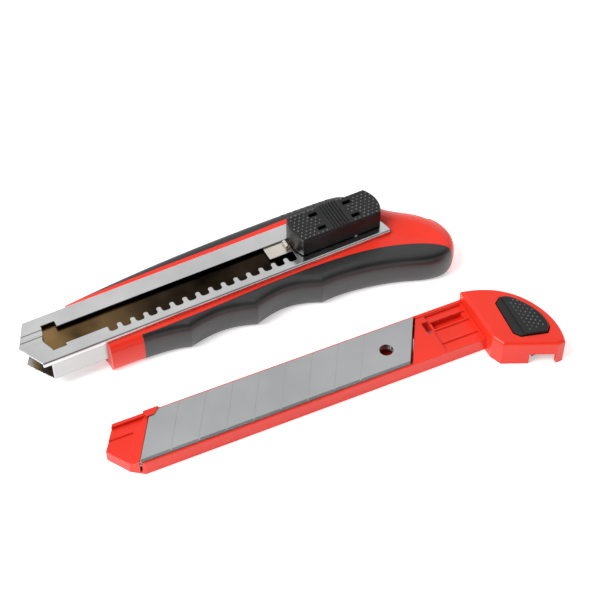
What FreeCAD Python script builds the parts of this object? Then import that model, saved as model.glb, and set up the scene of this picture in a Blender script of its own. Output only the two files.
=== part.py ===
import FreeCAD, Part
import math
import os

# Snap-off utility knife with a drawn-out refill magazine lying beside it.
# Shapes are drawn in nose coordinates: X runs from the nose tip to the rear of the handle,
# Y is zero on the rail centreline and grows toward the blade spine, Z is up from the table.
# Every exported shape is then moved so that the origin is the middle of the handle underside.

os.makedirs("parts", exist_ok=True)

NOSE_TO_ORIGIN = 94.0

# Standard 18 mm snap-off blade.
BLADE_WIDTH = 18.0
BLADE_LENGTH = 100.0
BLADE_THICK = 0.5
BLADE_SNAP = 10.0
BLADE_SLANT = 10.39
BLADE_HOLE = 5.0

# Steel rail and the magazine sleeve under it.
RAIL_LENGTH = 141.0
RAIL_HALF = 10.4
RAIL_TOP = 15.5
RAIL_BOTTOM = 13.6
LIP_THICK = 0.5
NOSE_DEPTH = 5.2
SLOT_NEAR = -4.9
SLOT_FAR = 3.5
SLOT_REAR = 133.0
WINDOW_FRONT = 10.3
WINDOW_REAR = 15.4
WINDOW_HALF = 6.1
RACK_PITCH = 5.0
RACK_FIRST = 32.5
RACK_NOTCHES = 20
RACK_NOTCH_WIDTH = 3.2
RACK_DEPTH = 2.6
RACK_ROOT_RADIUS = 1.0
RACK_TOOTH_RADIUS = 0.8
FLOOR_THICK = 0.3
FLOOR_REAR = 97.0
SLEEVE_BOTTOM = 5.3
SLEEVE_WALL = 0.4
SLEEVE_TIP = 1.6
SLEEVE_REAR = 137.0

# Handle.
HANDLE_TOP = 13.5
HOOD_TOP = 15.2
CORE_NEAR = 11.8
CORE_FAR = 13.8
FINGER_PITCH = 25.3
FINGER_FIRST = 57.3

# Slider.
CAP_FRONT = 106.4
CAP_REAR = 138.1
CAP_NEAR = -7.2
CAP_FAR = 6.2
CAP_BOTTOM = 16.1
CAP_TOP = 23.3

# Refill magazine, drawn with its own X from the tip of the top blade.
TRAY_HALF = 9.85
TRAY_TOP = 6.2
TRAY_FAR_TOP = 6.5
TRAY_FLOOR = 1.2
TRAY_WALL = 0.7
TRAY_END = 130.5
HEAD_TOP = 11.0
MAGAZINE_X = 20.2
MAGAZINE_Y = -47.7
MAGAZINE_YAW = -2.98
BLADE_STACK_TOP = 7.2
BLADE_STACK_PITCH = 0.55
BLADE_COUNT = 5


def vec(x, y, z=0.0):
    return FreeCAD.Vector(x, y, z)


def box(x0, x1, y0, y1, z0, z1):
    return Part.makeBox(x1 - x0, y1 - y0, z1 - z0, vec(x0, y0, z0))


def prism(points, z0, z1):
    wire = Part.makePolygon([vec(x, y, z0) for x, y in points + [points[0]]])
    return Part.Face(wire).extrude(vec(0, 0, z1 - z0))


def cylinder_z(x, y, radius, z0, z1):
    return Part.makeCylinder(radius, z1 - z0, vec(x, y, z0))


def edges_at_height(shape, z):
    found = []
    for edge in shape.Edges:
        limits = edge.BoundBox
        if abs(limits.ZMin - z) < 0.01 and abs(limits.ZMax - z) < 0.01:
            found.append(edge)
    return found


def export(name, shape):
    solid = shape.removeSplitter()
    if len(solid.Solids) != 1:
        print("node", name, "has", len(solid.Solids), "solids")
    solid = solid.Solids[0]
    solid.translate(vec(-NOSE_TO_ORIGIN, 0, 0))
    solid.exportStep("parts/" + name + ".step")
    limits = solid.BoundBox
    print(name, "valid", solid.isValid(), "volume", round(solid.Volume, 1),
          [round(v, 1) for v in (limits.XMin, limits.XMax, limits.YMin, limits.YMax, limits.ZMin, limits.ZMax)])


# ---------------------------------------------------------------- steel rail

def pointed_plate(tip, depth, half, rear, z0, z1):
    return prism([(tip, 0), (tip + depth, -half), (rear, -half), (rear, half), (tip + depth, half)], z0, z1)


def upright_edges(shape, y):
    found = []
    for edge in shape.Edges:
        limits = edge.BoundBox
        if limits.XLength < 0.01 and limits.YLength < 0.01 and abs(limits.YMin - y) < 0.01:
            found.append(edge)
    return found


def rack_notch(x):
    half = RACK_NOTCH_WIDTH / 2
    root_y = SLOT_NEAR - RACK_DEPTH
    notch = box(x - half, x + half, root_y, SLOT_NEAR + 1.0, RAIL_BOTTOM + 1.0, RAIL_TOP + 1.0)
    return notch.makeFillet(RACK_ROOT_RADIUS, upright_edges(notch, root_y))


rail = pointed_plate(0, NOSE_DEPTH, RAIL_HALF, RAIL_LENGTH, RAIL_BOTTOM, RAIL_TOP)
rail = rail.makeFillet(1.2, upright_edges(rail, RAIL_HALF)[:1])
for edge_y, radius in ((-RAIL_HALF, 0.9), (RAIL_HALF, 0.45)):
    long_edges = []
    for edge in edges_at_height(rail, RAIL_TOP):
        if edge.BoundBox.XLength > 100 and abs(edge.BoundBox.YMin - edge_y) < 0.01:
            long_edges.append(edge)
    rail = rail.makeFillet(radius, long_edges)
channel = box(-5, RAIL_LENGTH + 5, -RAIL_HALF + LIP_THICK, RAIL_HALF - LIP_THICK, 10, RAIL_TOP - LIP_THICK)
rail = rail.cut(channel)
slot = box(WINDOW_REAR - 1.0, SLOT_REAR, SLOT_NEAR, SLOT_FAR, 14, 17)
window = box(WINDOW_FRONT, WINDOW_REAR, -WINDOW_HALF, WINDOW_HALF, 14, 17)
bow = prism([(10.5, -6.1), (9.6, -3.6), (8.7, -1.4), (8.7, 0.2), (9.8, 2.8), (10.5, 6.1)], 14, 17)
rail_end = cylinder_z(RAIL_LENGTH - 31.1, -14.0, 31.3, 0, 30).fuse(box(-10, 115, -15, 15, 0, 30))
rail = rail.cut(slot.fuse(window)).cut(bow).common(rail_end)
notches = rack_notch(RACK_FIRST)
for step in range(1, RACK_NOTCHES):
    notches = notches.fuse(rack_notch(RACK_FIRST + step * RACK_PITCH))
rail = rail.cut(notches)
tooth_edges = []
for edge in upright_edges(rail, SLOT_NEAR):
    limits = edge.BoundBox
    if limits.XMin > RACK_FIRST and limits.XMax < RACK_FIRST + (RACK_NOTCHES - 1) * RACK_PITCH:
        tooth_edges.append(edge)
rail = rail.makeFillet(RACK_TOOTH_RADIUS, tooth_edges)
groove = box(-2, WINDOW_FRONT + 0.8, -0.9, 4.4, RAIL_TOP - 0.22, RAIL_TOP + 1)
bead = box(-2, WINDOW_FRONT, 1.7, 2.5, RAIL_TOP - 0.3, RAIL_TOP)
bead = bead.common(pointed_plate(0.3, NOSE_DEPTH, RAIL_HALF, 12, 10, 20)).cut(bow)
rail = rail.cut(groove).fuse(bead)
export("blade_rail", rail)

floor_z1 = RAIL_BOTTOM + FLOOR_THICK
floor = pointed_plate(1.6, NOSE_DEPTH, RAIL_HALF - LIP_THICK - 0.05, FLOOR_REAR, RAIL_BOTTOM, floor_z1)
export("rail_floor", floor)

sleeve = pointed_plate(SLEEVE_TIP, 6.6, RAIL_HALF, SLEEVE_REAR, SLEEVE_BOTTOM, RAIL_BOTTOM)
sleeve_long = [e for e in edges_at_height(sleeve, SLEEVE_BOTTOM) if e.BoundBox.XLength > 100]
sleeve = sleeve.makeFillet(0.6, sleeve_long)
tunnel_half = RAIL_HALF - SLEEVE_WALL
tunnel_z0 = SLEEVE_BOTTOM + SLEEVE_WALL
sleeve = sleeve.cut(box(-5, SLEEVE_REAR + 5, -tunnel_half, tunnel_half, tunnel_z0, 20))
export("magazine_sleeve", sleeve)

# ---------------------------------------------------------------- handle


def finger_side(x):
    valley = 14.2 + 0.035 * (x - 46.0)
    crest = (2.1 + 0.026 * (x - FINGER_FIRST)) * (1 - abs(math.sin(math.pi * (x - FINGER_FIRST) / FINGER_PITCH)))
    return -(valley + crest)


outline = [(22.0, -13.4), (33.0, -13.5)]
for quarter in range(-2, 9):
    x = FINGER_FIRST + quarter * FINGER_PITCH / 4
    outline.append((x, finger_side(x)))
CUSPS = [4, 8, 12]
outline = outline + [(114.0, -19.6), (127.0, -21.2), (140.0, -25.0), (150.5, -28.4), (157.0, -27.5),
                     (160.8, -23.0), (161.8, -17.5), (160.6, -11.7), (158.2, -7.4), (155.4, -4.1), (152.4, -1.5),
                     (149.4, 0.9), (146.6, 3.6), (143.6, 8.0), (139.8, 12.9), (134.8, 16.9), (126.7, 18.3), (114.0, 18.7),
                     (95.0, 18.8), (70.0, 18.3), (51.0, 17.3), (34.0, 15.9), (20.0, 14.4)]


def inset_wire(points, inset, z):
    moved = []
    last = len(points) - 1
    for i in range(len(points)):
        ahead = points[min(i + 1, last)]
        behind = points[max(i - 1, 0)]
        dx = ahead[0] - behind[0]
        dy = ahead[1] - behind[1]
        run = math.hypot(dx, dy)
        moved.append(vec(points[i][0] - dy / run * inset, points[i][1] + dx / run * inset, z))
    edges = []
    breaks = [0] + CUSPS + [last]
    for start, end in zip(breaks[:-1], breaks[1:]):
        curve = Part.BSplineCurve()
        curve.interpolate(moved[start:end + 1])
        edges.append(curve.toShape())
    edges.append(Part.makeLine(moved[-1], moved[0]))
    return Part.Wire(edges)


sections = [inset_wire(outline, 2.0, 0.0), inset_wire(outline, 0.3, 3.5), inset_wire(outline, 0.0, 7.5),
            inset_wire(outline, 0.2, 10.0), inset_wire(outline, 0.9, 12.1), inset_wire(outline, 2.2, 13.2),
            inset_wire(outline, 3.8, HANDLE_TOP)]
full_handle = Part.makeLoft(sections, True, False)
print("handle loft valid", full_handle.isValid(), round(full_handle.Volume))


def smooth_prism(curve_points, closing_points, z0, z1):
    curve = Part.BSplineCurve()
    curve.interpolate([vec(x, y, z0) for x, y in curve_points])
    corners = [curve_points[-1]] + closing_points + [curve_points[0]]
    edges = [curve.toShape()]
    for a, b in zip(corners[:-1], corners[1:]):
        edges.append(Part.makeLine(vec(a[0], a[1], z0), vec(b[0], b[1], z0)))
    return Part.Face(Part.Wire(edges)).extrude(vec(0, 0, z1 - z0))


near_line = [(40.6, -CORE_NEAR), (80.0, -CORE_NEAR), (118.0, -CORE_NEAR - 0.4), (134.0, -14.6),
             (145.0, -18.2), (152.5, -22.2), (158.0, -27.6)]
near_region = smooth_prism(near_line, [(158.0, -45.0), (40.6, -45.0)], -1, 20)
far_line = [(29.0, 13.3), (60.0, CORE_FAR - 0.1), (100.0, CORE_FAR + 0.1), (128.0, 12.8), (139.0, 9.0),
            (146.0, 5.0)]
far_region = smooth_prism(far_line, [(146.0, 40.0), (29.0, 40.0)], -1, 20)

grip_near = full_handle.common(near_region)
grip_far = full_handle.common(far_region)
for ridge in range(8):
    groove_x = 110.0 + 2.6 * ridge
    groove_y = 17.9 - 0.0018 * (groove_x - 110.0) ** 2
    groove = Part.makeCylinder(0.8, 30.0, vec(groove_x, groove_y - 4.6, HANDLE_TOP + 0.35), vec(0, 1, -0.16))
    grip_far = grip_far.cut(groove).cut(cylinder_z(groove_x, groove_y + 1.3, 0.9, -1, 20))

front_near = 28.5
core = full_handle.cut(near_region).cut(far_region)
core = core.cut(box(10, front_near, -30, 10.4, -1, 20))
core = core.cut(prism([(10, 10), (22.4, 10), (21.8, 18), (10, 18)], -1, 20))
block = prism([(28.0, -6.0), (30.0, -13.5), (40.6, -13.5), (40.6, -6.0)], 0, HANDLE_TOP)
block_edges = []
for edge in block.Edges:
    limits = edge.BoundBox
    along_near = limits.YMax < -13.4 and limits.XLength > 5 and limits.ZMin > 5
    upright_front = limits.ZLength > 5 and limits.YMax < -13.4 and limits.XMax < 31
    if along_near or upright_front:
        block_edges.append(edge)
block = block.makeFillet(2.0, block_edges)
core = core.fuse(block)

hood_near = [(139.0, -9.6), (142.0, -12.2), (148.4, -16.8), (154.0, -21.6), (162.0, -27.0)]


def hood_wire(shift, z):
    moved = [vec(x + 0.6 * shift, y + 0.8 * shift, z) for x, y in hood_near]
    curve = Part.BSplineCurve()
    curve.interpolate(moved)
    corners = [moved[-1], vec(172, -10, z), vec(150, 22, z), vec(133, 22, z), moved[0]]
    edges = [curve.toShape()]
    for start, end in zip(corners[:-1], corners[1:]):
        edges.append(Part.makeLine(start, end))
    return Part.Wire(edges)


hood = Part.makeLoft([hood_wire(0.0, 13.2), hood_wire(2.2, 14.2), hood_wire(6.5, HOOD_TOP)], True, False)
hood_sides = Part.makeLoft([inset_wire(outline, 2.3, 13.2), inset_wire(outline, 4.2, 14.2),
                            inset_wire(outline, 7.5, HOOD_TOP)], True, False)
hood = hood.common(hood_sides)
hood = hood.cut(near_region).cut(far_region).cut(box(100, RAIL_LENGTH - 0.2, -40, -RAIL_HALF, 10, 20))
hood = hood.cut(box(100, 134.0, RAIL_HALF, 40, 10, 20))
core = core.fuse(hood)
rim_line = [(160.6, -15.4), (162.4, -16.8), (163.1, -19.2), (162.4, -22.3), (160.2, -25.0), (157.6, -26.9),
            (154.8, -28.6)]
rim = smooth_prism(rim_line, [(150.0, -26.0), (154.0, -15.0)], 2.0, 9.6)
rim = rim.makeFillet(1.2, edges_at_height(rim, 9.6)[:1] + edges_at_height(rim, 2.0)[:1]).cut(near_region)
core = core.fuse(rim)
side_gap = 0.02
rail_bed = box(-5, RAIL_LENGTH + 10, -RAIL_HALF - side_gap, RAIL_HALF + side_gap, RAIL_BOTTOM - side_gap, 20)
sleeve_bed = box(-5, SLEEVE_REAR, -RAIL_HALF - side_gap, RAIL_HALF + side_gap, SLEEVE_BOTTOM - side_gap,
                 RAIL_BOTTOM)
magazine_bay = box(SLEEVE_REAR - 1, 175, -tunnel_half, tunnel_half, tunnel_z0 - 0.2, 13.3)
for bed in (rail_bed.common(rail_end), sleeve_bed, magazine_bay):
    core = core.cut(bed)
    grip_near = grip_near.cut(bed)
    grip_far = grip_far.cut(bed)
export("handle_body", core)
export("grip_near", grip_near)
export("grip_far", grip_far)

# ---------------------------------------------------------------- slider

slide_mid = (CAP_NEAR + CAP_FAR) / 2
plate_z0 = 14.5
plate_z1 = 14.85
plate = box(104.5, 128.0, -9.3, 9.3, plate_z0, plate_z1)
tongue = box(95.4, 104.6, -2.4, 4.2, plate_z0, plate_z1)
curl_ring = Part.makeCylinder(0.95, 3.0, vec(103.6, -0.6, plate_z1 + 0.85), vec(0, 1, 0))
curl_hole = Part.makeCylinder(0.6, 5.0, vec(103.6, -1.6, plate_z1 + 0.85), vec(0, 1, 0))
plate = plate.fuse(tongue).fuse(curl_ring.cut(curl_hole))
export("slider_plate", plate)

pin = cylinder_z(98.6, 0.9, 2.2, 14.0, plate_z0)
pin = pin.makeFillet(0.2, edges_at_height(pin, 14.0))
export("blade_pin", pin)

base = box(109.0, 132.4, -4.5, 3.1, plate_z1, 15.95)
base = base.fuse(box(109.4, 134.4, -5.2, 4.2, 15.95, 18.4))
hook_spots = [(x, slide_mid + side * 3.55) for x in (115.7, 129.5) for side in (-1, 1)]
for x, y in hook_spots:
    post = box(x - 1.35, x + 1.35, y - 0.55, y + 0.55, 18.4, 22.0)
    post = post.makeChamfer(0.3, edges_at_height(post, 22.0))
    base = base.fuse(post)
export("slider_base", base)

notch_x = RACK_FIRST + 18 * RACK_PITCH
leaf = box(notch_x - 10.5, notch_x + 10.5, -6.6, -5.5, 15.7, 15.95)
for end in (notch_x - 10.5, notch_x + 8.5):
    leaf = leaf.fuse(box(end, end + 2.0, -6.6, -4.6, 15.7, 15.95))
leaf = leaf.fuse(box(notch_x - 0.8, notch_x + 0.8, -6.7, -5.6, 15.15, 15.7))
export("detent_spring", leaf)


def bowed_block(x0, x1, y0, y1, front_bow, rear_bow, z0, z1):
    middle = (y0 + y1) / 2
    front = Part.Arc(vec(x0, y0, z0), vec(x0 - front_bow, middle, z0), vec(x0, y1, z0)).toShape()
    far = Part.makeLine(vec(x0, y1, z0), vec(x1, y1, z0))
    rear = Part.Arc(vec(x1, y1, z0), vec(x1 + rear_bow, middle, z0), vec(x1, y0, z0)).toShape()
    near = Part.makeLine(vec(x1, y0, z0), vec(x0, y0, z0))
    return Part.Face(Part.Wire([front, far, rear, near])).extrude(vec(0, 0, z1 - z0))


cap = bowed_block(CAP_FRONT, CAP_REAR, CAP_NEAR, CAP_FAR, 1.4, 2.2, CAP_BOTTOM, CAP_TOP)
cap = cap.makeChamfer(0.45, edges_at_height(cap, CAP_TOP))
for rib in range(7):
    x = 122.5 + (rib - 3) * 1.2
    bar = Part.makeCylinder(0.52, CAP_FAR - CAP_NEAR - 0.5, vec(x, CAP_NEAR + 0.25, CAP_TOP), vec(0, 1, 0))
    cap = cap.fuse(bar)
cap = cap.cut(box(108.2, 135.2, CAP_NEAR + 1.4, CAP_FAR - 1.4, CAP_BOTTOM - 1, 21.2))
cap = cap.cut(box(notch_x - 11.2, notch_x + 11.2, CAP_NEAR + 0.4, CAP_NEAR + 1.6, CAP_BOTTOM - 1,
                  CAP_BOTTOM + 0.6))
for x, y in hook_spots:
    cap = cap.cut(box(x - 1.7, x + 1.7, y - 0.85, y + 0.85, 20, 24))
export("slider_cap", cap)

# ---------------------------------------------------------------- refill magazine


def place_magazine(shape):
    placed = shape.copy()
    placed.rotate(vec(0, 0, 0), vec(0, 0, 1), MAGAZINE_YAW)
    placed.translate(vec(MAGAZINE_X, MAGAZINE_Y, 0))
    return placed


tray_plan = [(-8.5, 1.2), (-3.2, -6.6), (1.5, -TRAY_HALF), (TRAY_END, -TRAY_HALF), (TRAY_END, TRAY_HALF),
             (-3.0, TRAY_HALF)]
inner = TRAY_HALF - TRAY_WALL
bay_plan = [(-0.5, -inner), (101.0, -inner), (111.4, inner), (10.0, inner)]
tray = prism(tray_plan, 0, TRAY_FAR_TOP)
tray = tray.cut(prism(bay_plan, TRAY_FLOOR, 20))
tray = tray.cut(box(-20, 140, -20, 8.6, TRAY_TOP, 20))
tray = tray.cut(prism([(-20, -8.6), (-1.5, -8.6), (8.0, 8.6), (-20, 8.6)], 5.2, 20))
tray = tray.cut(prism([(-20, -6.2), (-1.6, -6.2), (2.6, 4.6), (-20, 4.6)], 4.7, 20))
tray = tray.cut(prism([(-20, -20), (-20, -8.6), (-1.4, -8.6), (2.6, -TRAY_HALF - 1), (2.6, -20)], 5.2, 20))
tray = tray.fuse(prism([(8.0, 9.2), (13.6, 9.2), (13.6, TRAY_HALF), (8.0, TRAY_HALF)], 6.0, 7.6))
tray = tray.fuse(prism([(8.0, 9.3), (8.4, 7.2), (11.2, 7.2), (13.6, 9.3)], 7.26, 7.6))
tray = tray.cut(box(114.4, 129.0, -8.9, 8.2, 5.4, 20))
tray = tray.cut(box(115.6, 127.6, 1.8, 5.0, 3.2, 20))
for y in (1.4, 5.4, -4.9):
    tray = tray.fuse(box(115.0, 129.0, y - 0.3, y + 0.3, 4.5, 5.9))
tray = tray.cut(box(112.0, 114.8, 0.4, 5.8, -1, 20))
tray = tray.cut(prism([(104.6, -3.0), (106.2, -3.0), (110.3, 5.0), (108.7, 5.0)], -1, 2))
tray_edges = [e for e in edges_at_height(tray, 0) if e.BoundBox.XLength > 100]
tray = tray.makeFillet(0.5, tray_edges)
export("magazine_tray", place_magazine(tray))

head_curve = [(129.8, 10.2), (136.5, 8.4), (142.8, 5.0), (148.2, -0.4), (151.8, -7.0), (153.6, -14.0),
              (153.6, -20.0), (152.2, -25.4)]
head_corners = [(149.4, -25.6), (131.6, -17.8), (129.8, -13.5)]
head = smooth_prism(head_curve, head_corners, 0, HEAD_TOP)
head = head.makeFillet(1.3, edges_at_height(head, HEAD_TOP))
hollow_curve = [(131.4, 8.2), (136.0, 6.9), (142.0, 3.6), (146.8, -1.3), (150.2, -7.6), (152.0, -14.3),
                (152.0, -19.8), (150.8, -24.2)]
hollow_corners = [(149.6, -24.0), (132.8, -16.6), (131.4, -13.2)]
head = head.cut(smooth_prism(hollow_curve, hollow_corners, -1, HEAD_TOP - 1.6))
head = head.cut(prism([(140.6, -30), (149.6, -30), (149.6, -23.4), (140.6, -18.5)], -1, 5))
head = head.fuse(box(130.6, 147.2, -6.0, -3.0, 0.8, 2.0))
tray_block = box(100, TRAY_END + 0.02, -TRAY_HALF - 0.02, TRAY_HALF + 0.02, -1, TRAY_FAR_TOP + 0.02)
head = head.cut(tray_block)
button_curve = [(140.8, 1.2), (143.4, 0.6), (146.2, -2.6), (148.8, -7.2), (150.3, -12.2), (150.0, -17.6)]
button_corners = [(148.2, -19.6), (139.0, -17.2), (137.4, -14.8), (138.4, -0.6)]
button_mid = vec(144.2, -9.2)


def grown(points, amount):
    moved = []
    for x, y in points:
        run = math.hypot(x - button_mid.x, y - button_mid.y)
        moved.append((x + (x - button_mid.x) / run * amount, y + (y - button_mid.y) / run * amount))
    return moved


button_hole = smooth_prism(grown(button_curve, 0.45), grown(button_corners, 0.45), 5, 20)
head = head.cut(button_hole)
export("magazine_head", place_magazine(head))

button = smooth_prism(button_curve, button_corners, 7.8, HEAD_TOP + 0.9)
button = button.makeFillet(0.5, edges_at_height(button, HEAD_TOP + 0.9))
button = button.cut(prism([(130, 10), (141.6, 10), (140.0, -30), (130, -30)], HEAD_TOP + 0.3, 20))
flange = smooth_prism(grown(button_curve, 1.0), grown(button_corners, 1.0), 7.8, 8.9)
flange = flange.common(smooth_prism(grown(hollow_curve, -0.4), grown(hollow_corners, -0.4), 7, 10))
button = button.fuse(flange)
button = button.fuse(box(141.6, 144.4, -17.4, -16.0, 3.4, 8.0)).fuse(box(141.6, 144.4, -21.6, -16.0, 3.4, 4.6))
export("release_button", place_magazine(button))

spring_path = [(141.5, 2.0), (147.0, 2.0), (147.0, 2.3), (142.6, 2.3), (147.0, 7.5), (147.0, 7.8), (144.4, 7.8),
               (144.4, 7.5), (146.2, 7.5), (141.5, 2.3)]
spring_wire = Part.makePolygon([vec(x, -5.6, z) for x, z in spring_path + [spring_path[0]]])
button_spring = Part.Face(spring_wire).extrude(vec(0, 2.2, 0))
export("button_spring", place_magazine(button_spring))

arch_top = BLADE_STACK_TOP - BLADE_STACK_PITCH * (BLADE_COUNT - 1) - BLADE_THICK - 0.05
outer_arch = Part.Arc(vec(18, -4, TRAY_FLOOR + 0.4), vec(56, -4, arch_top), vec(94, -4, TRAY_FLOOR + 0.4))
outer_arch = outer_arch.toShape()
inner_arch = Part.Arc(vec(18, -4, TRAY_FLOOR), vec(56, -4, arch_top - 0.4), vec(94, -4, TRAY_FLOOR)).toShape()
arch_front = Part.makeLine(vec(18, -4, TRAY_FLOOR), vec(18, -4, TRAY_FLOOR + 0.4))
arch_rear = Part.makeLine(vec(94, -4, TRAY_FLOOR + 0.4), vec(94, -4, TRAY_FLOOR))
follower = Part.Face(Part.Wire([arch_front, outer_arch, arch_rear, inner_arch])).extrude(vec(0, 8, 0))
export("follower_spring", place_magazine(follower))


def snap_blade(top):
    half = BLADE_WIDTH / 2
    bottom = top - BLADE_THICK
    plan = [(0, -half), (BLADE_LENGTH, -half), (BLADE_LENGTH + BLADE_SLANT, half), (BLADE_SLANT, half)]
    blade = prism(plan, bottom, top)
    bevel = Part.makePolygon([vec(-1, -half - 0.5, top + 0.1), vec(-1, -half + 0.78, top + 0.1),
                              vec(-1, -half + 0.7, top), vec(-1, -half - 0.001, bottom + 0.1),
                              vec(-1, -half - 0.5, bottom + 0.1), vec(-1, -half - 0.5, top + 0.1)])
    blade = blade.cut(Part.Face(bevel).extrude(vec(BLADE_LENGTH + 20, 0, 0)))
    for line in range(1, 9):
        x = line * BLADE_SNAP
        groove = [(x, -half - 1), (x + 0.35, -half - 1), (x + BLADE_SLANT * 20 / 18 + 0.35, half + 1),
                  (x + BLADE_SLANT * 20 / 18, half + 1)]
        blade = blade.cut(prism(groove, top - 0.18, top + 1))
    return blade.cut(cylinder_z(95.0, -0.5, BLADE_HOLE / 2, bottom - 1, top + 1))


for layer in range(BLADE_COUNT):
    blade = snap_blade(BLADE_STACK_TOP - layer * BLADE_STACK_PITCH)
    export("spare_blade_" + str(layer + 1), place_magazine(blade))
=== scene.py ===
# %% [markdown]
# A snap-off utility knife lies on a pale table with its refill magazine drawn out beside it.
# The solid parts come from the CAD frame, already in place and at real size, so this file never
# moves them. What is left to do is what the eye reads: plating, moulded plastic, rubber, ground
# steel, and the small raised dots that a thumb feels. The first cell brings the frame in.

# %% Load the frame
import math

import bpy
import bmesh
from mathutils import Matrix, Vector


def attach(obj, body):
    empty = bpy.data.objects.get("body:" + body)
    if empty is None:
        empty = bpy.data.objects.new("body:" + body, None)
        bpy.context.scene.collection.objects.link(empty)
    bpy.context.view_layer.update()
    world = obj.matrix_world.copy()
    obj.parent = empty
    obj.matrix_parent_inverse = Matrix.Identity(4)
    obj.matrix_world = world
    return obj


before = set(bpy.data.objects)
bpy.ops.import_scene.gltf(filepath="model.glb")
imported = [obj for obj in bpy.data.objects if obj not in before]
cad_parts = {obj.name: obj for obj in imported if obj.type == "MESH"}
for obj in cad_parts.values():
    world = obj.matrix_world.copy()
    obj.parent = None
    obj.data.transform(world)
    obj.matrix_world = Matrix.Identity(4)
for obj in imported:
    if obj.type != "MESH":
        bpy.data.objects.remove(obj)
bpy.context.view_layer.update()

# %% [markdown]
# Measurements on the knife are easiest to read from its nose tip, in millimetres, because that is
# how a maker would mark them on the rail. The frame's own origin is under the middle of the
# handle. One helper turns a nose measurement into a frame point in metres, and a second does the
# same for the magazine, which lies turned a little from the rail.

# %% Nose and magazine measurements
NOSE_TO_ORIGIN = 94.0
MAGAZINE_SPOT = (20.2, -47.7)
MAGAZINE_TURN = math.radians(-2.98)


def on_knife(x, y, z):
    return Vector(((x - NOSE_TO_ORIGIN) / 1000, y / 1000, z / 1000))


def on_magazine(x, y, z):
    c = math.cos(MAGAZINE_TURN)
    s = math.sin(MAGAZINE_TURN)
    return on_knife(MAGAZINE_SPOT[0] + x * c - y * s, MAGAZINE_SPOT[1] + x * s + y * c, z)


print("nose tip", on_knife(0, 0, 15.5), "blade tip", on_magazine(0, -9, 7.2))

# %% [markdown]
# Every finish below is a node material. Wiring nodes by hand is wordy, so a small helper adds a
# node, sets its plain values and links its inputs in one line. It works the same inside a
# material and inside a node group.

# %% Node helper


def add(tree, kind, links=None, **values):
    node = tree.nodes.new(kind)
    for key, value in values.items():
        setattr(node, key, value)
    for key, source in (links or {}).items():
        target = node.inputs[key]
        if isinstance(source, bpy.types.NodeSocket):
            tree.links.new(source, target)
        else:
            target.default_value = source
    return node


def new_group(name, inputs, outputs):
    tree = bpy.data.node_groups.new(name, "ShaderNodeTree")
    for label, kind, value in inputs:
        socket = tree.interface.new_socket(name=label, in_out="INPUT", socket_type=kind)
        socket.default_value = value
    for label, kind in outputs:
        tree.interface.new_socket(name=label, in_out="OUTPUT", socket_type=kind)
    return tree, tree.nodes.new("NodeGroupInput"), tree.nodes.new("NodeGroupOutput")


print("helpers ready")

# %% [markdown]
# Moulded plastic and rubber are never quite smooth: the mould leaves a fine grain and slow waves
# in the gloss. Several finishes share that, so it is one group. It gives a height for bump and a
# slow patchy mask that varies colour and roughness.

# %% Moulding grain group
grain, g_in, g_out = new_group(
    "moulding grain",
    [("Grain Scale", "NodeSocketFloat", 2500.0), ("Patch Scale", "NodeSocketFloat", 60.0)],
    [("Height", "NodeSocketFloat"), ("Patch", "NodeSocketFloat")])
where = add(grain, "ShaderNodeTexCoord").outputs["Object"]
fine = add(grain, "ShaderNodeTexNoise",
           {"Vector": where, "Scale": g_in.outputs["Grain Scale"], "Detail": 3.0})
slow = add(grain, "ShaderNodeTexNoise",
           {"Vector": where, "Scale": g_in.outputs["Patch Scale"], "Detail": 4.0})
grain.links.new(fine.outputs["Fac"], g_out.inputs["Height"])
grain.links.new(slow.outputs["Fac"], g_out.inputs["Patch"])
print("group", grain.name, len(grain.nodes), "nodes")

# %% [markdown]
# Rolled, ground and plated steel carries fine lines in one direction. A noise stretched hard
# along the lines does it: squeezing the coordinates across the lines makes streaks. The group
# takes the stretch for each axis, so the rail's lines can run along it and a blade's across it.

# %% Brushed lines group
brushed, b_in, b_out = new_group(
    "brushed lines",
    [("Stretch", "NodeSocketVector", (40.0, 2500.0, 2500.0)),
     ("Turn", "NodeSocketVector", (0.0, 0.0, 0.0))],
    [("Streak", "NodeSocketFloat"), ("Cloud", "NodeSocketFloat")])
where = add(brushed, "ShaderNodeTexCoord").outputs["Object"]
turned = add(brushed, "ShaderNodeVectorRotate",
             {"Vector": where, "Rotation": b_in.outputs["Turn"]}, rotation_type="EULER_XYZ")
pulled = add(brushed, "ShaderNodeVectorMath",
             {0: turned.outputs["Vector"], 1: b_in.outputs["Stretch"]}, operation="MULTIPLY")
line_noise = add(brushed, "ShaderNodeTexNoise",
                 {"Vector": pulled.outputs["Vector"], "Scale": 1.0, "Detail": 5.0})
broad = add(brushed, "ShaderNodeTexNoise",
            {"Vector": turned.outputs["Vector"], "Scale": 45.0, "Detail": 3.0})
brushed.links.new(line_noise.outputs["Fac"], b_out.inputs["Streak"])
brushed.links.new(broad.outputs["Fac"], b_out.inputs["Cloud"])
print("group", brushed.name, len(brushed.nodes), "nodes")
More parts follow.
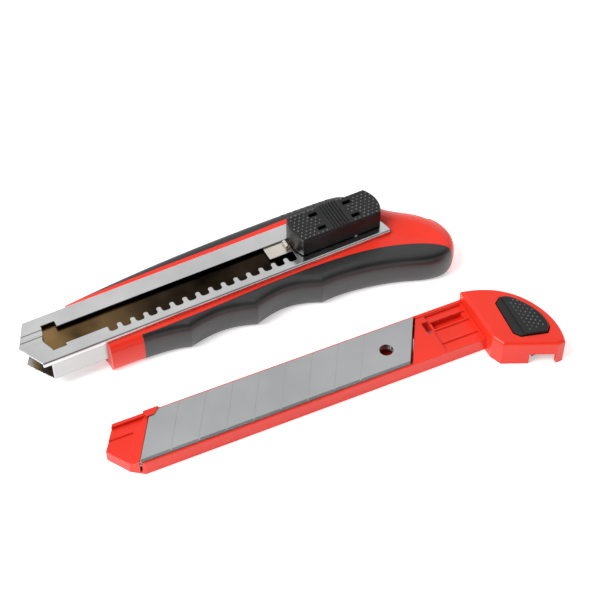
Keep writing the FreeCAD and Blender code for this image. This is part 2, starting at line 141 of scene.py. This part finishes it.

# %% [markdown]
# No real edge is perfectly sharp. A mould or a press rounds it by a tenth or two of a millimetre,
# and that tiny round is what draws the bright line along an edge. Bevelling every CAD edge would
# change the meshes, so the rounding is done in shading: the Bevel node bends the normal near an
# edge. The same node tells where edges are, because there its normal differs from the true one,
# and that difference is the mask along which an edge tone is painted into the colour: mostly a
# paler painted highlight, and on the rail a darker painted shade.

# %% Softened edges group
softened, s_in, s_out = new_group(
    "softened edges",
    [("Radius", "NodeSocketFloat", 0.0003)],
    [("Normal", "NodeSocketVector"), ("Edge", "NodeSocketFloat")])
rounded = add(softened, "ShaderNodeBevel", {"Radius": s_in.outputs["Radius"]}, samples=4)
true_normal = add(softened, "ShaderNodeNewGeometry").outputs["Normal"]
alike = add(softened, "ShaderNodeVectorMath", {0: rounded.outputs["Normal"], 1: true_normal},
            operation="DOT_PRODUCT")
edge_mask = add(softened, "ShaderNodeMapRange",
                {"Value": alike.outputs["Value"], "From Min": 1.0, "From Max": 0.75,
                 "To Min": 0.0, "To Max": 1.0})
softened.links.new(rounded.outputs["Normal"], s_out.inputs["Normal"])
softened.links.new(edge_mask.outputs["Result"], s_out.inputs["Edge"])
print("group", softened.name, len(softened.nodes), "nodes")

# %% [markdown]
# A finish is a Principled shader whose colour and roughness each run between two values along a
# mask, with a bump from a height, over the softened edges. Along the edge mask an edge tone is
# mixed into the colour, a painted highlight where it is paler and a painted shade where it is
# darker. The wiring is the same for plastic, rubber and steel, so one function makes it and each
# finish brings its own values. Values that are the same all over, such as the coat, go straight
# onto the shader's own sockets.

# %% Finish builder


def group_node(tree, group, values):
    node = add(tree, "ShaderNodeGroup", node_tree=group)
    for key, value in values.items():
        node.inputs[key].default_value = value
    return node


def two_tone(tree, mask, low, high, start, end):
    ramp = add(tree, "ShaderNodeValToRGB", {"Fac": mask})
    ramp.color_ramp.elements[0].position = start
    ramp.color_ramp.elements[1].position = end
    ramp.color_ramp.elements[0].color = (*low, 1.0)
    ramp.color_ramp.elements[1].color = (*high, 1.0)
    return ramp.outputs["Color"]


# Paints the edge tone into the colour along the edge mask, as painted highlight when paler and painted
# shade when darker.
def tint_edges_painted_light(tree, edge, colour, painted_edge_tone):
    mix = add(tree, "ShaderNodeMixRGB", {"Fac": edge, "Color1": colour, "Color2": (*painted_edge_tone, 1.0)})
    return mix.outputs["Color"]


def finish_material(name, pattern, values, mask, height, tones, rough, metal, bump_mm, edge_mm,
                    painted_edge_tone, span=(0.35, 0.65), **plain):
    material = bpy.data.materials.new(name)
    material.use_nodes = True
    tree = material.node_tree
    tree.nodes.clear()
    source = group_node(tree, pattern, values)
    edges = group_node(tree, softened, {"Radius": edge_mm / 1000})
    colour = two_tone(tree, source.outputs[mask], tones[0], tones[1], *span)
    edge_painted_colour = tint_edges_painted_light(tree, edges.outputs["Edge"], colour, painted_edge_tone)
    gloss = add(tree, "ShaderNodeMapRange",
                {"Value": source.outputs[mask], "From Min": 0.3, "From Max": 0.7,
                 "To Min": rough[0], "To Max": rough[1]})
    bump = add(tree, "ShaderNodeBump", {"Height": source.outputs[height], "Strength": 1.0,
                                        "Distance": bump_mm / 1000, "Normal": edges.outputs["Normal"]})
    shader = add(tree, "ShaderNodeBsdfPrincipled",
                 {"Base Color": edge_painted_colour, "Roughness": gloss.outputs["Result"], "Metallic": metal,
                  "Normal": bump.outputs["Normal"]})
    for key, value in plain.items():
        shader.inputs[key.replace("_", " ")].default_value = value
    add(tree, "ShaderNodeOutputMaterial", {"Surface": shader.outputs["BSDF"]})
    print("finish", name, len(tree.nodes), "nodes")
    return material

print("finish builder ready")

# %% [markdown]
# The handle, the tray and the magazine's head are injection-moulded in one glossy red plastic.
# Fresh from a polished mould, it has a hard clear shine over a deep, slightly uneven red. A thin
# coat over a base of middling gloss gives both, and the edges are tinted a little paler, a painted
# highlight.

# %% Red gloss plastic
red = finish_material(
    "red gloss plastic", grain, {"Grain Scale": 900.0, "Patch Scale": 40.0}, "Patch", "Height",
    tones=((0.66, 0.022, 0.009), (0.73, 0.029, 0.012)), rough=(0.24, 0.34), metal=0.0, bump_mm=0.012,
    edge_mm=0.2, painted_edge_tone=(0.82, 0.05, 0.03), Coat_Weight=0.08, Coat_Roughness=0.12,
    Specular_IOR_Level=0.28)

# %% [markdown]
# The two grips are a soft rubber moulded over the red. Rubber is nearly black, but its skin is
# faintly rough, so light slides off it as wide grey bands instead of sharp highlights. A middling
# roughness with a slightly raised specular level gives those bands while the base stays dark.

# %% Soft black rubber
# The edges are tinted a faintly paler black, a painted highlight.
rubber = finish_material(
    "soft black rubber", grain, {"Grain Scale": 2200.0, "Patch Scale": 70.0}, "Patch", "Height",
    tones=((0.006, 0.006, 0.0065), (0.011, 0.011, 0.0115)), rough=(0.3, 0.4), metal=0.0, bump_mm=0.02,
    edge_mm=0.5, painted_edge_tone=(0.02, 0.02, 0.021), Specular_IOR_Level=0.65)

# %% [markdown]
# The slider's cap and carrier and the release button are a harder black plastic with a fine
# sparked texture from the mould. It is a little glossier than the rubber on its flat sides, and
# its edges are tinted a thin grey line, a painted highlight.

# %% Black moulded plastic
black = finish_material(
    "black moulded plastic", grain, {"Grain Scale": 3200.0, "Patch Scale": 90.0}, "Patch", "Height",
    tones=((0.004, 0.004, 0.004), (0.009, 0.009, 0.009)), rough=(0.3, 0.44), metal=0.0, bump_mm=0.03,
    edge_mm=0.25, painted_edge_tone=(0.03, 0.03, 0.03), Specular_IOR_Level=0.36)

# %% [markdown]
# The raised dots are a smooth mid grey, much paler than the cap: a painted highlight standing for
# the light their crowns catch, so they stand out as bright specks against the dark top between them.

# %% Dots with painted highlight
dot_painted_highlight = finish_material(
    "dots painted highlight grey", grain, {"Grain Scale": 3200.0, "Patch Scale": 300.0}, "Patch", "Height",
    tones=((0.05, 0.05, 0.052), (0.13, 0.13, 0.135)), rough=(0.25, 0.4), metal=0.0, bump_mm=0.005,
    edge_mm=0.08, painted_edge_tone=(0.2, 0.2, 0.2), Specular_IOR_Level=0.8)

# %% [markdown]
# The rail and the sleeve are pressed from nickel-plated strip. The plating is bright but the
# strip's rolling lines still show through it, running the length of the rail. Stretching the
# noise about eighty to one along X makes the lines, and a slow cloud keeps the grey from being
# even. The folded edges are tinted a darker grey, a painted shade for edges that turn away from
# the light.

# %% Plated steel
plated = finish_material(
    "plated steel", brushed, {"Stretch": (30.0, 2500.0, 2500.0)}, "Cloud", "Streak",
    tones=((0.56, 0.56, 0.56), (0.66, 0.66, 0.66)), rough=(0.16, 0.26), metal=1.0, bump_mm=0.003,
    edge_mm=0.25, painted_edge_tone=(0.3, 0.3, 0.3))

# %% [markdown]
# The sleeve under the rail is the same strip, given a darker copy of the rail's finish. Its big
# flat sides would be as white as the table if they were as bright as the rail, so a step down in
# reflectance, a painted shade, and a softer gloss keep them a pale grey. Its edges are tinted near
# white, a painted highlight that draws a clean outline.

# %% Plated steel with painted shade
plated_painted_shade = finish_material(
    "plated steel with painted shade", brushed, {"Stretch": (30.0, 2500.0, 2500.0)}, "Cloud", "Streak",
    tones=((0.4, 0.4, 0.4), (0.46, 0.46, 0.46)), rough=(0.2, 0.3), metal=1.0, bump_mm=0.003,
    edge_mm=0.3, painted_edge_tone=(0.75, 0.75, 0.75))

# %% [markdown]
# The strip on the channel's floor is bare polished steel. Down between the lips it mirrors the
# dark underside of the lips, so it reads brown rather than grey. A dark warm metal colour with
# long streaks paints that reflection into the colour, and a low roughness keeps it polished.

# %% Floor strip with painted reflection
floor_strip = finish_material(
    "floor strip painted reflection", brushed, {"Stretch": (20.0, 1500.0, 1500.0)}, "Cloud", "Streak",
    tones=((0.05, 0.032, 0.018), (0.34, 0.24, 0.14)), rough=(0.12, 0.24), metal=1.0, bump_mm=0.004,
    edge_mm=0.1, painted_edge_tone=(0.2, 0.17, 0.13))

# %% [markdown]
# The strip's colour runs from a golden tan at the nose, a painted reflection, to nearly black at
# the slider's tongue, a painted shadow and reflection of the dark slider.

# %% Painted reflection and shadow along the strip
TAN_REFLECTION_X = -0.092
SLIDER_SHADOW_X = -0.045
tree = floor_strip.node_tree
strip_shader = tree.nodes["Principled BSDF"]
strip_reflection_tone = strip_shader.inputs["Base Color"].links[0].from_socket
along = add(tree, "ShaderNodeSeparateXYZ", {"Vector": add(tree, "ShaderNodeTexCoord").outputs["Object"]})
reach = add(tree, "ShaderNodeMapRange",
            {"Value": along.outputs["X"], "From Min": TAN_REFLECTION_X, "From Max": SLIDER_SHADOW_X})
# Golden tan painted reflection at the nose, painted shadow of the slider near its tongue.
painted_reflection_shadow = two_tone(tree, reach.outputs["Result"], (1.0, 0.86, 0.6), (0.12, 0.115, 0.12), 0.0, 1.0)
strip_with_painted_light = add(tree, "ShaderNodeMixRGB", {"Fac": 1.0, "Color1": strip_reflection_tone, "Color2": painted_reflection_shadow},
            blend_type="MULTIPLY")
tree.links.new(strip_with_painted_light.outputs["Color"], strip_shader.inputs["Base Color"])
print("painted reflection and shadow run along the strip")

# %% [markdown]
# Snap-off blades are flat-ground across their width, at right angles to the edge, and left bare.
# The lines run along Y, turned with the magazine, and are only just there: a very shallow bump,
# with a slow cloud in the grey and the roughness.

# %% Ground blade steel
# The edges are tinted near white, a painted highlight.
blade_steel = finish_material(
    "ground blade steel", brushed, {"Stretch": (1800.0, 60.0, 1800.0), "Turn": (0.0, 0.0, -MAGAZINE_TURN)},
    "Cloud", "Streak", tones=((0.42, 0.43, 0.43), (0.47, 0.48, 0.48)), rough=(0.3, 0.36), metal=1.0,
    bump_mm=0.0006, edge_mm=0.08, painted_edge_tone=(0.85, 0.85, 0.85))

# %% [markdown]
# The slider's plate and the pin that holds the blade are bright pressed spring strip, slightly
# warm where they were tempered; their edges are tinted paler, a painted highlight. The three thin
# springs are the same steel tempered further, to a dark blue-grey, and they only show through
# gaps. Their dark colour is partly the temper and partly painted shade for those gaps.

# %% Spring steels
spring = finish_material(
    "bright spring strip", brushed, {"Stretch": (40.0, 1500.0, 1500.0)}, "Cloud", "Streak",
    tones=((0.62, 0.56, 0.48), (0.74, 0.7, 0.63)), rough=(0.18, 0.28), metal=1.0, bump_mm=0.003,
    edge_mm=0.12, painted_edge_tone=(0.85, 0.83, 0.8))
tempered_painted_shade = finish_material(
    "tempered spring painted shade", brushed, {"Stretch": (40.0, 1500.0, 1500.0)}, "Cloud", "Streak",
    tones=((0.02, 0.022, 0.028), (0.05, 0.052, 0.06)), rough=(0.3, 0.4), metal=1.0, bump_mm=0.003,
    edge_mm=0.1, painted_edge_tone=(0.1, 0.1, 0.11))

# %% [markdown]
# Each CAD piece keeps its mesh and gets its finish. Every name that isn't in the list is one of
# the spare blades.

# %% Finishes onto the pieces
finishes = {
    "handle_body": red, "magazine_tray": red, "magazine_head": red,
    "grip_near": rubber, "grip_far": rubber,
    "slider_cap": black, "slider_base": black, "release_button": black,
    "blade_rail": plated, "magazine_sleeve": plated_painted_shade, "rail_floor": floor_strip,
    "slider_plate": spring, "blade_pin": spring,
    "detent_spring": tempered_painted_shade, "follower_spring": tempered_painted_shade, "button_spring": tempered_painted_shade,
}
for name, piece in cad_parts.items():
    piece.data.materials.clear()
    piece.data.materials.append(finishes.get(name, blade_steel))
print("finishes on", len(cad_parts), "nodes")

# %% [markdown]
# The thumb grips the slider by raised dots in front of the ribs and behind them. Each is a small
# blunt cone in the paler dot finish that paints their highlight. They could be bump in the
# material, but a real dot stands up and throws its own highlight, so they are mesh: two rings of
# points low and wide, one high and narrow, and a lid. All the dots of one piece are a single
# object that rides with it.

# %% Dot maker
DOT_SIDES = 10
SUNK_MM = 0.05


def dot_field(name, spots, top_z, foot, crown, height, place, body):
    mesh = bmesh.new()
    for x, y in spots:
        rings = []
        profile = ((foot, top_z - SUNK_MM), (foot * 0.92, top_z + height * 0.45), (crown, top_z + height))
        for radius, z in profile:
            ring = []
            for side in range(DOT_SIDES):
                turn = 2 * math.pi * side / DOT_SIDES
                spot = place(x + radius * math.cos(turn), y + radius * math.sin(turn), z)
                ring.append(mesh.verts.new(spot))
            rings.append(ring)
        for low, high in zip(rings[:-1], rings[1:]):
            for side in range(DOT_SIDES):
                after = (side + 1) % DOT_SIDES
                mesh.faces.new((low[side], low[after], high[after], high[side]))
        mesh.faces.new(rings[-1])
        mesh.faces.new(list(reversed(rings[0])))
    data = bpy.data.meshes.new(name)
    mesh.to_mesh(data)
    mesh.free()
    data.polygons.foreach_set("use_smooth", [True] * len(data.polygons))
    data.materials.append(dot_painted_highlight)
    piece = bpy.data.objects.new(name, data)
    bpy.context.scene.collection.objects.link(piece)
    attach(piece, body)
    print(name, len(spots), "dots")


# %% [markdown]
# On the cap the rows are staggered, and a dot is left out where it would fall on one of the four
# slots or past the bowed ends. The cap's top and its bowed ends are measured as on the CAD piece.

# %% Dots on the slider cap
CAP_TOP = 23.3
CAP_MIDDLE = -0.5
SLOT_SPOTS = [(x, CAP_MIDDLE + side * 3.55) for x in (115.7, 129.5) for side in (-1, 1)]
DOT_PITCH = 1.75


def clear_of_slots(x, y):
    return all(abs(x - sx) > 2.3 or abs(y - sy) > 1.45 for sx, sy in SLOT_SPOTS)


def inside_bowed_end(x, y, end_x, bow, way):
    reach = end_x + way * bow * (1 - ((y - CAP_MIDDLE) / 6.7) ** 2)
    return (reach - x) * way > 1.0


cap_spots = []
for row in range(-4, 5):
    y = CAP_MIDDLE + row * 1.42
    for step in range(0, 8):
        shift = DOT_PITCH / 2 if row % 2 else 0.0
        front_x = 116.7 - step * DOT_PITCH - shift
        rear_x = 128.3 + step * DOT_PITCH + shift
        if clear_of_slots(front_x, y) and inside_bowed_end(front_x, y, 106.4, 1.4, -1):
            cap_spots.append((front_x, y))
        if clear_of_slots(rear_x, y) and inside_bowed_end(rear_x, y, 138.1, 2.2, 1):
            cap_spots.append((rear_x, y))
dot_field("cap_dots", cap_spots, CAP_TOP, 0.32, 0.17, 0.42, on_knife, "thumb_cap")

# %% [markdown]
# The release button has the same dots, finer, on its raised half.

# %% Dots on the release button
BUTTON_TOP = 11.9
button_spots = []
for row in range(0, 8):
    for step in range(0, 6):
        x = 142.9 + step * 1.3
        y = -16.4 + row * 1.9 + (0.95 if step % 2 else 0.0)
        if x < 149.0 - 0.026 * (y + 13.0) ** 2 and y > -16.9:
            button_spots.append((x, y))
dot_field("button_dots", button_spots, BUTTON_TOP, 0.3, 0.18, 0.2, on_magazine, "release")

# %% [markdown]
# The studio is a light table, the usual bench for small metal goods. The top is white acrylic
# that glows a little from below, so nothing casts a hard shadow and every downward face is lit.
# Around it the room is bright on the far side and dark behind the camera, and a low white wall
# runs all the way round. The steel mirrors the far side, and that is where its even grey comes
# from, while its rounded edges turn down to the white wall. The curved black rubber turns from the
# bright side to the dark one over a few millimetres, and that draws the sheen along it.

# %% Room light
world = bpy.data.worlds.new("studio")
bpy.context.scene.world = world
world.use_nodes = True
sky = world.node_tree
sky.nodes.clear()
toward = add(sky, "ShaderNodeTexCoord").outputs["Generated"]
way = add(sky, "ShaderNodeSeparateXYZ", {"Vector": toward})
spread = add(sky, "ShaderNodeMapRange", {"Value": way.outputs["Y"], "From Min": -1.0, "From Max": 1.0})
shade = add(sky, "ShaderNodeValToRGB", {"Fac": spread.outputs["Result"]})
shade.color_ramp.interpolation = "EASE"
shade.color_ramp.elements[0].position = 0.12
shade.color_ramp.elements[0].color = (0.1, 0.1, 0.1, 1)
shade.color_ramp.elements[1].position = 0.62
shade.color_ramp.elements[1].color = (0.9, 0.9, 0.91, 1)
low = add(sky, "ShaderNodeMapRange", {"Value": way.outputs["Z"], "From Min": 0.12, "From Max": 0.42,
                                      "To Min": 1.0, "To Max": 0.0})
walls = add(sky, "ShaderNodeMixRGB", {"Fac": low.outputs["Result"], "Color1": shade.outputs["Color"],
                                      "Color2": (1.0, 1.0, 1.0, 1.0)})
back = add(sky, "ShaderNodeBackground", {"Color": walls.outputs["Color"], "Strength": 1.0})
add(sky, "ShaderNodeOutputWorld", {"Surface": back.outputs["Background"]})
print("room light ready")

# %% [markdown]
# One large softbox, high on the left, is the key light. It is kept out of the direction that the
# flat steel mirrors, so it brightens the red without burning out the rail.

# %% Key light


def softbox(name, spot, aim, size, power):
    data = bpy.data.lights.new(name, "AREA")
    data.shape = "RECTANGLE"
    data.size = size[0]
    data.size_y = size[1]
    data.energy = power
    lamp = bpy.data.objects.new(name, data)
    lamp.location = spot
    lamp.rotation_euler = (Vector(aim) - Vector(spot)).to_track_quat("-Z", "Y").to_euler()
    bpy.context.scene.collection.objects.link(lamp)
    print(name, power, "W")


softbox("key softbox", (-0.75, 0.0, 0.95), (0, 0, 0), (0.6, 0.6), 14.0)

# %% [markdown]
# The light table itself is one large sheet. Its own glow is set on the shader, and a very faint
# mottle in its colour stands for the grain of the acrylic.

# %% Light table
table = bpy.data.meshes.new("table")
table.from_pydata([(-3, -3, 0), (3, -3, 0), (3, 3, 0), (-3, 3, 0)], [], [(0, 1, 2, 3)])
table_top = bpy.data.objects.new("table", table)
bpy.context.scene.collection.objects.link(table_top)
acrylic = finish_material(
    "white acrylic", grain, {"Grain Scale": 900.0, "Patch Scale": 5.0}, "Patch", "Height",
    tones=((0.9, 0.9, 0.9), (0.92, 0.92, 0.92)), rough=(0.7, 0.8), metal=0.0, bump_mm=0.001,
    edge_mm=0.1, painted_edge_tone=(0.92, 0.92, 0.92), Emission_Color=(1, 1, 1, 1), Emission_Strength=0.45)
table.materials.append(acrylic)

# %% [markdown]
# The camera looks down at about 49 degrees from the nose side of the handle, through a long lens,
# so the rail keeps nearly the same width from nose to rear.

# %% Camera
lens = bpy.data.cameras.new("camera")
lens.lens = 93.0
lens.sensor_width = 36.0
camera = bpy.data.objects.new("camera", lens)
camera.location = (-0.1641, -0.3418, 0.4275)
camera.rotation_euler = (math.radians(90 - 49.05), 0, math.radians(-27.63))
bpy.context.scene.collection.objects.link(camera)
bpy.context.scene.camera = camera
bpy.context.scene.view_settings.view_transform = "Standard"
print("camera at", tuple(camera.location))
